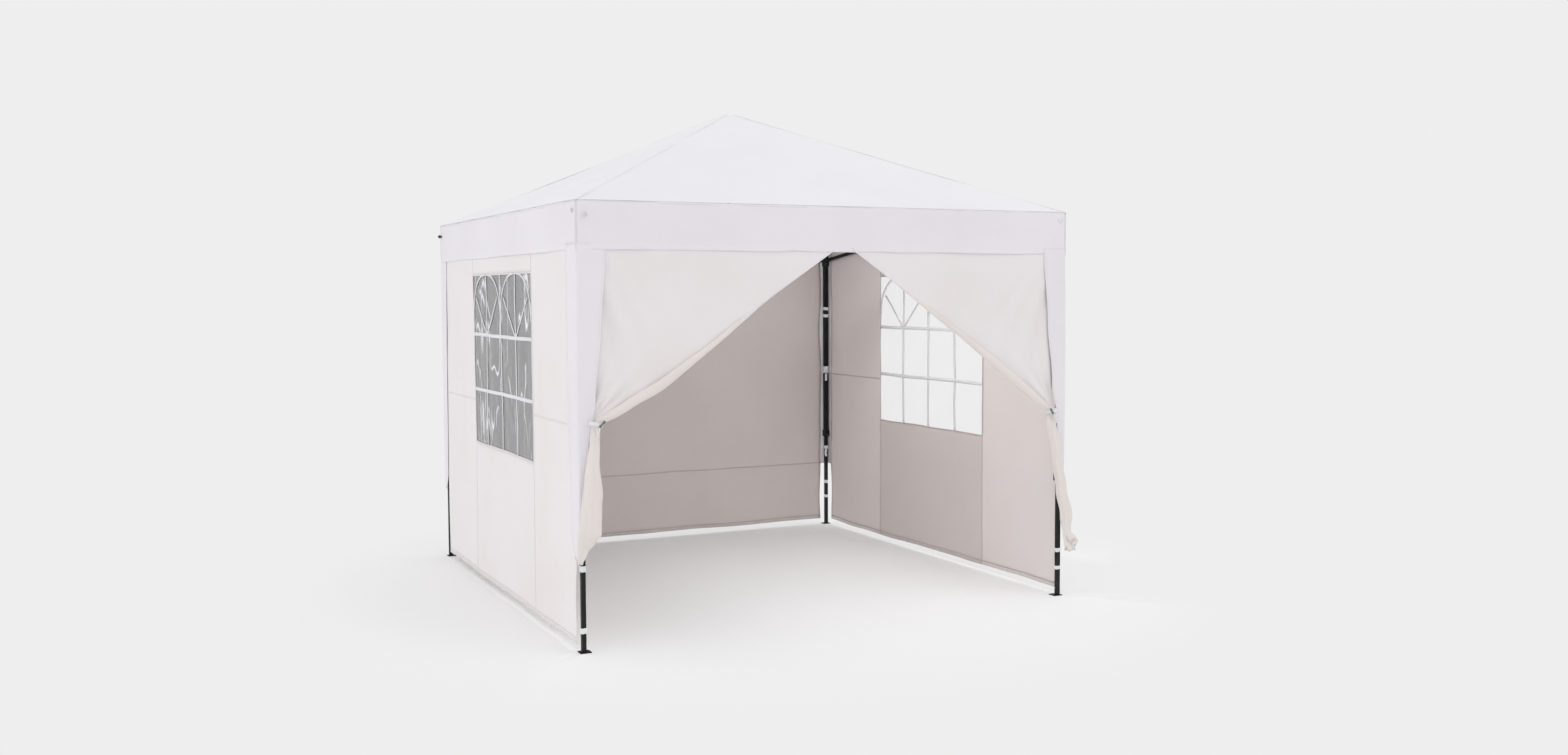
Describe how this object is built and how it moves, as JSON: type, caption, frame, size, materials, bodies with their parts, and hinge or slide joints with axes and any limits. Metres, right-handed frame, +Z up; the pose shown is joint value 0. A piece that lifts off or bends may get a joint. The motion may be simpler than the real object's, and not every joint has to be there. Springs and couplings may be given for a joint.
{
  "type": "pop up canopy",
  "caption": "Square pop up canopy: white pyramid roof with a valance, folding scissor frame, side walls with windows, a plain back wall and a front tied open.",
  "frame": {"origin": "on the ground at the middle of the four feet", "axes": "+Z up, -Y towards the open front, +X to the right seen from the front"},
  "size_m": [2.5, 2.5, 2.4598],
  "materials": {
    "roof_cloth": "coated white cloth",
    "wall_cloth": "thin warm white cloth",
    "bar_steel": "black powder coat",
    "leg_steel": "black powder coat",
    "joint_plastic": "moulded black plastic",
    "button_plastic": "moulded dark plastic"
  },
  "bodies": {
    "canopy_top": {"top_hub": "joint_plastic", "cover_skirt": "roof_cloth"},
    "lower_hub": {"lower_hub": "joint_plastic"},
    "peak_pole": {"peak_pole": "leg_steel"},
    "centre_front_hanging": {"centre_bar_front_hanging": "bar_steel"},
    "centre_front_rising": {"centre_bar_front_rising": "bar_steel"},
    "side_middle_front": {"mid_top_bracket_front": "joint_plastic", "door_curtains": "wall_cloth"},
    "low_middle_front": {"mid_bottom_bracket_front": "joint_plastic"},
    "side_front_right_hanging": {"side_bar_front_right_hanging": "bar_steel"},
    "side_front_right_rising": {"side_bar_front_right_rising": "bar_steel"},
    "side_front_left_hanging": {"side_bar_front_left_hanging": "bar_steel"},
    "side_front_left_rising": {"side_bar_front_left_rising": "bar_steel"},
    "leg_front_right": {"upper_leg_front_right": "leg_steel"},
    "slider_front_right": {"leg_slider_front_right": "joint_plastic"},
    "lower_leg_front_right": {"lower_leg_front_right": "leg_steel"},
    "lock_button_front_right": {"leg_lock_button_front_right": "button_plastic"},
    "roof_front": {"roof_panel_front": "roof_cloth"},
    "centre_right_hanging": {"centre_bar_right_hanging": "bar_steel"},
    "centre_right_rising": {"centre_bar_right_rising": "bar_steel"},
    "side_middle_right": {"mid_top_bracket_right": "joint_plastic", "side_wall_right": "wall_cloth"},
    "low_middle_right": {"mid_bottom_bracket_right": "joint_plastic"},
    "side_right_right_hanging": {"side_bar_right_right_hanging": "bar_steel"},
    "side_right_right_rising": {"side_bar_right_right_rising": "bar_steel"},
    "side_right_left_hanging": {"side_bar_right_left_hanging": "bar_steel"},
    "side_right_left_rising": {"side_bar_right_left_rising": "bar_steel"},
    "leg_back_right": {"upper_leg_back_right": "leg_steel"},
    "slider_back_right": {"leg_slider_back_right": "joint_plastic"},
    "lower_leg_back_right": {"lower_leg_back_right": "leg_steel"},
    "lock_button_back_right": {"leg_lock_button_back_right": "button_plastic"},
    "roof_right": {"roof_panel_right": "roof_cloth"},
    "centre_back_hanging": {"centre_bar_back_hanging": "bar_steel"},
    "centre_back_rising": {"centre_bar_back_rising": "bar_steel"},
    "side_middle_back": {"mid_top_bracket_back": "joint_plastic", "side_wall_back": "wall_cloth"},
    "low_middle_back": {"mid_bottom_bracket_back": "joint_plastic"},
    "side_back_right_hanging": {"side_bar_back_right_hanging": "bar_steel"},
    "side_back_right_rising": {"side_bar_back_right_rising": "bar_steel"},
    "side_back_left_hanging": {"side_bar_back_left_hanging": "bar_steel"},
    "side_back_left_rising": {"side_bar_back_left_rising": "bar_steel"},
    "leg_back_left": {"upper_leg_back_left": "leg_steel"},
    "slider_back_left": {"leg_slider_back_left": "joint_plastic"},
    "lower_leg_back_left": {"lower_leg_back_left": "leg_steel"},
    "lock_button_back_left": {"leg_lock_button_back_left": "button_plastic"},
    "roof_back": {"roof_panel_back": "roof_cloth"},
    "centre_left_hanging": {"centre_bar_left_hanging": "bar_steel"},
    "centre_left_rising": {"centre_bar_left_rising": "bar_steel"},
    "side_middle_left": {"mid_top_bracket_left": "joint_plastic", "side_wall_left": "wall_cloth"},
    "low_middle_left": {"mid_bottom_bracket_left": "joint_plastic"},
    "side_left_right_hanging": {"side_bar_left_right_hanging": "bar_steel"},
    "side_left_right_rising": {"side_bar_left_right_rising": "bar_steel"},
    "side_left_left_hanging": {"side_bar_left_left_hanging": "bar_steel"},
    "side_left_left_rising": {"side_bar_left_left_rising": "bar_steel"},
    "leg_front_left": {"upper_leg_front_left": "leg_steel"},
    "slider_front_left": {"leg_slider_front_left": "joint_plastic"},
    "lower_leg_front_left": {"lower_leg_front_left": "leg_steel"},
    "lock_button_front_left": {"leg_lock_button_front_left": "button_plastic"},
    "roof_left": {"roof_panel_left": "roof_cloth"}
  },
  "joints": [
    {"name": "frame_fold", "type": "hinge", "parent": "canopy_top", "child": "centre_front_hanging", "pos_m": [0, -0.029, 1.862], "axis": [1, 0, 0], "range_deg": [0, 80.01], "deforming": ["cover_skirt", "door_curtains", "side_wall_right", "side_wall_back", "side_wall_left", "roof_panel_front", "roof_panel_right", "roof_panel_back", "roof_panel_left"]},
    {"name": "centre_front_rising_crossing", "type": "hinge", "parent": "centre_front_hanging", "child": "centre_front_rising", "pos_m": [0, -0.61375, 1.7895], "axis": [1, 0, 0], "range_deg": [-160.52, 0]},
    {"name": "side_middle_front_hinge", "type": "hinge", "parent": "centre_front_rising", "child": "side_middle_front", "pos_m": [0, -1.1985, 1.862], "axis": [1, 0, 0], "range_deg": [0, 80.51]},
    {"name": "low_middle_front_hinge", "type": "hinge", "parent": "centre_front_hanging", "child": "low_middle_front", "pos_m": [0, -1.1985, 1.717], "axis": [1, 0, 0], "range_deg": [-80.51, 0]},
    {"name": "lower_hub_hinge", "type": "hinge", "parent": "centre_front_rising", "child": "lower_hub", "pos_m": [0, -0.029, 1.717], "axis": [1, 0, 0], "range_deg": [0, 80.51]},
    {"name": "side_front_right_hanging_hinge", "type": "hinge", "parent": "side_middle_front", "child": "side_front_right_hanging", "pos_m": [0.026, -1.228, 1.862], "axis": [0, 1, 0], "range_deg": [0, 80.51]},
    {"name": "side_front_right_rising_crossing", "type": "hinge", "parent": "side_front_right_hanging", "child": "side_front_right_rising", "pos_m": [0.61075, -1.228, 1.7895], "axis": [0, 1, 0], "range_deg": [-160.52, 0]},
    {"name": "leg_front_right_hinge", "type": "hinge", "parent": "side_front_right_rising", "child": "leg_front_right", "pos_m": [1.1955, -1.228, 1.862], "axis": [0, 1, 0], "range_deg": [0, 80.51]},
    {"name": "slider_front_right_hinge", "type": "hinge", "parent": "side_front_right_hanging", "child": "slider_front_right", "pos_m": [1.1955, -1.228, 1.717], "axis": [0, 1, 0], "range_deg": [-80.51, 0]},
    {"name": "side_front_left_hanging_hinge", "type": "hinge", "parent": "side_middle_front", "child": "side_front_left_hanging", "pos_m": [-0.026, -1.228, 1.862], "axis": [0, 1, 0], "range_deg": [-80.51, 0]},
    {"name": "side_front_left_rising_crossing", "type": "hinge", "parent": "side_front_left_hanging", "child": "side_front_left_rising", "pos_m": [-0.61075, -1.228, 1.7895], "axis": [0, 1, 0], "range_deg": [0, 160.52]},
    {"name": "roof_front_eave", "type": "hinge", "parent": "side_middle_front", "child": "roof_front", "pos_m": [0, -1.25, 1.895], "axis": [1, 0, 0], "range_deg": [-117.5, 0]},
    {"name": "lower_leg_front_right_slide", "type": "slide", "parent": "leg_front_right", "child": "lower_leg_front_right", "axis": [0, 0, 1], "range_m": [0, 0.56]},
    {"name": "lock_button_front_right_pull", "type": "slide", "parent": "leg_front_right", "child": "lock_button_front_right", "axis": [-1, 0, 0], "range_m": [0, 0.005], "stiffness_N_per_m": 800, "springref_m": -0.004},
    {"name": "centre_right_hanging_hinge", "type": "hinge", "parent": "canopy_top", "child": "centre_right_hanging", "pos_m": [0.029, 0, 1.862], "axis": [0, 1, 0], "range_deg": [0, 80.51]},
    {"name": "centre_right_rising_crossing", "type": "hinge", "parent": "centre_right_hanging", "child": "centre_right_rising", "pos_m": [0.61375, 0, 1.7895], "axis": [0, 1, 0], "range_deg": [-160.52, 0]},
    {"name": "side_middle_right_hinge", "type": "hinge", "parent": "centre_right_rising", "child": "side_middle_right", "pos_m": [1.1985, 0, 1.862], "axis": [0, 1, 0], "range_deg": [0, 80.51]},
    {"name": "low_middle_right_hinge", "type": "hinge", "parent": "centre_right_hanging", "child": "low_middle_right", "pos_m": [1.1985, 0, 1.717], "axis": [0, 1, 0], "range_deg": [-80.51, 0]},
    {"name": "side_right_right_hanging_hinge", "type": "hinge", "parent": "side_middle_right", "child": "side_right_right_hanging", "pos_m": [1.228, 0.026, 1.862], "axis": [-1, 0, 0], "range_deg": [0, 80.51]},
    {"name": "side_right_right_rising_crossing", "type": "hinge", "parent": "side_right_right_hanging", "child": "side_right_right_rising", "pos_m": [1.228, 0.61075, 1.7895], "axis": [-1, 0, 0], "range_deg": [-160.52, 0]},
    {"name": "leg_back_right_hinge", "type": "hinge", "parent": "side_right_right_rising", "child": "leg_back_right", "pos_m": [1.228, 1.1955, 1.862], "axis": [-1, 0, 0], "range_deg": [0, 80.51]},
    {"name": "slider_back_right_hinge", "type": "hinge", "parent": "side_right_right_hanging", "child": "slider_back_right", "pos_m": [1.228, 1.1955, 1.717], "axis": [-1, 0, 0], "range_deg": [-80.51, 0]},
    {"name": "side_right_left_hanging_hinge", "type": "hinge", "parent": "side_middle_right", "child": "side_right_left_hanging", "pos_m": [1.228, -0.026, 1.862], "axis": [-1, 0, 0], "range_deg": [-80.51, 0]},
    {"name": "side_right_left_rising_crossing", "type": "hinge", "parent": "side_right_left_hanging", "child": "side_right_left_rising", "pos_m": [1.228, -0.61075, 1.7895], "axis": [-1, 0, 0], "range_deg": [0, 160.52]},
    {"name": "roof_right_eave", "type": "hinge", "parent": "side_middle_right", "child": "roof_right", "pos_m": [1.25, 0, 1.895], "axis": [0, 1, 0], "range_deg": [-117.5, 0]},
    {"name": "lower_leg_back_right_slide", "type": "slide", "parent": "leg_back_right", "child": "lower_leg_back_right", "axis": [0, 0, 1], "range_m": [0, 0.56]},
    {"name": "lock_button_back_right_pull", "type": "slide", "parent": "leg_back_right", "child": "lock_button_back_right", "axis": [0, -1, 0], "range_m": [0, 0.005], "stiffness_N_per_m": 800, "springref_m": -0.004},
    {"name": "centre_back_hanging_hinge", "type": "hinge", "parent": "canopy_top", "child": "centre_back_hanging", "pos_m": [0, 0.029, 1.862], "axis": [-1, 0, 0], "range_deg": [0, 80.51]},
    {"name": "centre_back_rising_crossing", "type": "hinge", "parent": "centre_back_hanging", "child": "centre_back_rising", "pos_m": [0, 0.61375, 1.7895], "axis": [-1, 0, 0], "range_deg": [-160.52, 0]},
    {"name": "side_middle_back_hinge", "type": "hinge", "parent": "centre_back_rising", "child": "side_middle_back", "pos_m": [0, 1.1985, 1.862], "axis": [-1, 0, 0], "range_deg": [0, 80.51]},
    {"name": "low_middle_back_hinge", "type": "hinge", "parent": "centre_back_hanging", "child": "low_middle_back", "pos_m": [0, 1.1985, 1.717], "axis": [-1, 0, 0], "range_deg": [-80.51, 0]},
    {"name": "side_back_right_hanging_hinge", "type": "hinge", "parent": "side_middle_back", "child": "side_back_right_hanging", "pos_m": [-0.026, 1.228, 1.862], "axis": [0, -1, 0], "range_deg": [0, 80.51]},
    {"name": "side_back_right_rising_crossing", "type": "hinge", "parent": "side_back_right_hanging", "child": "side_back_right_rising", "pos_m": [-0.61075, 1.228, 1.7895], "axis": [0, -1, 0], "range_deg": [-160.52, 0]},
    {"name": "leg_back_left_hinge", "type": "hinge", "parent": "side_back_right_rising", "child": "leg_back_left", "pos_m": [-1.1955, 1.228, 1.862], "axis": [0, -1, 0], "range_deg": [0, 80.51]},
    {"name": "slider_back_left_hinge", "type": "hinge", "parent": "side_back_right_hanging", "child": "slider_back_left", "pos_m": [-1.1955, 1.228, 1.717], "axis": [0, -1, 0], "range_deg": [-80.51, 0]},
    {"name": "side_back_left_hanging_hinge", "type": "hinge", "parent": "side_middle_back", "child": "side_back_left_hanging", "pos_m": [0.026, 1.228, 1.862], "axis": [0, -1, 0], "range_deg": [-80.51, 0]},
    {"name": "side_back_left_rising_crossing", "type": "hinge", "parent": "side_back_left_hanging", "child": "side_back_left_rising", "pos_m": [0.61075, 1.228, 1.7895], "axis": [0, -1, 0], "range_deg": [0, 160.52]},
    {"name": "roof_back_eave", "type": "hinge", "parent": "side_middle_back", "child": "roof_back", "pos_m": [0, 1.25, 1.895], "axis": [-1, 0, 0], "range_deg": [-117.5, 0]},
    {"name": "lower_leg_back_left_slide", "type": "slide", "parent": "leg_back_left", "child": "lower_leg_back_left", "axis": [0, 0, 1], "range_m": [0, 0.56]},
    {"name": "lock_button_back_left_pull", "type": "slide", "parent": "leg_back_left", "child": "lock_button_back_left", "axis": [1, 0, 0], "range_m": [0, 0.005], "stiffness_N_per_m": 800, "springref_m": -0.004},
    {"name": "centre_left_hanging_hinge", "type": "hinge", "parent": "canopy_top", "child": "centre_left_hanging", "pos_m": [-0.029, 0, 1.862], "axis": [0, -1, 0], "range_deg": [0, 80.51]},
    {"name": "centre_left_rising_crossing", "type": "hinge", "parent": "centre_left_hanging", "child": "centre_left_rising", "pos_m": [-0.61375, 0, 1.7895], "axis": [0, -1, 0], "range_deg": [-160.52, 0]},
    {"name": "side_middle_left_hinge", "type": "hinge", "parent": "centre_left_rising", "child": "side_middle_left", "pos_m": [-1.1985, 0, 1.862], "axis": [0, -1, 0], "range_deg": [0, 80.51]},
    {"name": "low_middle_left_hinge", "type": "hinge", "parent": "centre_left_hanging", "child": "low_middle_left", "pos_m": [-1.1985, 0, 1.717], "axis": [0, -1, 0], "range_deg": [-80.51, 0]},
    {"name": "side_left_right_hanging_hinge", "type": "hinge", "parent": "side_middle_left", "child": "side_left_right_hanging", "pos_m": [-1.228, -0.026, 1.862], "axis": [1, 0, 0], "range_deg": [0, 80.51]},
    {"name": "side_left_right_rising_crossing", "type": "hinge", "parent": "side_left_right_hanging", "child": "side_left_right_rising", "pos_m": [-1.228, -0.61075, 1.7895], "axis": [1, 0, 0], "range_deg": [-160.52, 0]},
    {"name": "leg_front_left_hinge", "type": "hinge", "parent": "side_left_right_rising", "child": "leg_front_left", "pos_m": [-1.228, -1.1955, 1.862], "axis": [1, 0, 0], "range_deg": [0, 80.51]},
    {"name": "slider_front_left_hinge", "type": "hinge", "parent": "side_left_right_hanging", "child": "slider_front_left", "pos_m": [-1.228, -1.1955, 1.717], "axis": [1, 0, 0], "range_deg": [-80.51, 0]},
    {"name": "side_left_left_hanging_hinge", "type": "hinge", "parent": "side_middle_left", "child": "side_left_left_hanging", "pos_m": [-1.228, 0.026, 1.862], "axis": [1, 0, 0], "range_deg": [-80.51, 0]},
    {"name": "side_left_left_rising_crossing", "type": "hinge", "parent": "side_left_left_hanging", "child": "side_left_left_rising", "pos_m": [-1.228, 0.61075, 1.7895], "axis": [1, 0, 0], "range_deg": [0, 160.52]},
    {"name": "roof_left_eave", "type": "hinge", "parent": "side_middle_left", "child": "roof_left", "pos_m": [-1.25, 0, 1.895], "axis": [0, -1, 0], "range_deg": [-117.5, 0]},
    {"name": "lower_leg_front_left_slide", "type": "slide", "parent": "leg_front_left", "child": "lower_leg_front_left", "axis": [0, 0, 1], "range_m": [0, 0.56]},
    {"name": "lock_button_front_left_pull", "type": "slide", "parent": "leg_front_left", "child": "lock_button_front_left", "axis": [0, 1, 0], "range_m": [0, 0.005], "stiffness_N_per_m": 800, "springref_m": -0.004},
    {"name": "peak_pole_slide", "type": "slide", "parent": "canopy_top", "child": "peak_pole", "axis": [0, 0, -1], "range_m": [0, 0.504]}
  ],
  "couplings": [
    {"joint": "centre_front_rising_crossing", "follows": "frame_fold", "ratio": -2},
    {"joint": "side_middle_front_hinge", "follows": "frame_fold", "ratio": 1},
    {"joint": "low_middle_front_hinge", "follows": "frame_fold", "ratio": -1},
    {"joint": "lower_hub_hinge", "follows": "frame_fold", "ratio": 1},
    {"joint": "side_front_right_hanging_hinge", "follows": "frame_fold", "ratio": 1},
    {"joint": "side_front_right_rising_crossing", "follows": "frame_fold", "ratio": -2},
    {"joint": "leg_front_right_hinge", "follows": "frame_fold", "ratio": 1},
    {"joint": "slider_front_right_hinge", "follows": "frame_fold", "ratio": -1},
    {"joint": "side_front_left_hanging_hinge", "follows": "frame_fold", "ratio": -1},
    {"joint": "side_front_left_rising_crossing", "follows": "frame_fold", "ratio": 2},
    {"joint": "roof_front_eave", "follows": "frame_fold", "ratio": -1.4623},
    {"joint": "centre_right_hanging_hinge", "follows": "frame_fold", "ratio": 1},
    {"joint": "centre_right_rising_crossing", "follows": "frame_fold", "ratio": -2},
    {"joint": "side_middle_right_hinge", "follows": "frame_fold", "ratio": 1},
    {"joint": "low_middle_right_hinge", "follows": "frame_fold", "ratio": -1},
    {"joint": "side_right_right_hanging_hinge", "follows": "frame_fold", "ratio": 1},
    {"joint": "side_right_right_rising_crossing", "follows": "frame_fold", "ratio": -2},
    {"joint": "leg_back_right_hinge", "follows": "frame_fold", "ratio": 1},
    {"joint": "slider_back_right_hinge", "follows": "frame_fold", "ratio": -1},
    {"joint": "side_right_left_hanging_hinge", "follows": "frame_fold", "ratio": -1},
    {"joint": "side_right_left_rising_crossing", "follows": "frame_fold", "ratio": 2},
    {"joint": "roof_right_eave", "follows": "frame_fold", "ratio": -1.4623},
    {"joint": "centre_back_hanging_hinge", "follows": "frame_fold", "ratio": 1},
    {"joint": "centre_back_rising_crossing", "follows": "frame_fold", "ratio": -2},
    {"joint": "side_middle_back_hinge", "follows": "frame_fold", "ratio": 1},
    {"joint": "low_middle_back_hinge", "follows": "frame_fold", "ratio": -1},
    {"joint": "side_back_right_hanging_hinge", "follows": "frame_fold", "ratio": 1},
    {"joint": "side_back_right_rising_crossing", "follows": "frame_fold", "ratio": -2},
    {"joint": "leg_back_left_hinge", "follows": "frame_fold", "ratio": 1},
    {"joint": "slider_back_left_hinge", "follows": "frame_fold", "ratio": -1},
    {"joint": "side_back_left_hanging_hinge", "follows": "frame_fold", "ratio": -1},
    {"joint": "side_back_left_rising_crossing", "follows": "frame_fold", "ratio": 2},
    {"joint": "roof_back_eave", "follows": "frame_fold", "ratio": -1.4623},
    {"joint": "centre_left_hanging_hinge", "follows": "frame_fold", "ratio": 1},
    {"joint": "centre_left_rising_crossing", "follows": "frame_fold", "ratio": -2},
    {"joint": "side_middle_left_hinge", "follows": "frame_fold", "ratio": 1},
    {"joint": "low_middle_left_hinge", "follows": "frame_fold", "ratio": -1},
    {"joint": "side_left_right_hanging_hinge", "follows": "frame_fold", "ratio": 1},
    {"joint": "side_left_right_rising_crossing", "follows": "frame_fold", "ratio": -2},
    {"joint": "leg_front_left_hinge", "follows": "frame_fold", "ratio": 1},
    {"joint": "slider_front_left_hinge", "follows": "frame_fold", "ratio": -1},
    {"joint": "side_left_left_hanging_hinge", "follows": "frame_fold", "ratio": -1},
    {"joint": "side_left_left_rising_crossing", "follows": "frame_fold", "ratio": 2},
    {"joint": "roof_left_eave", "follows": "frame_fold", "ratio": -1.4623},
    {"joint": "peak_pole_slide", "follows": "frame_fold", "m_per_rad": 0.35805}
  ]
}
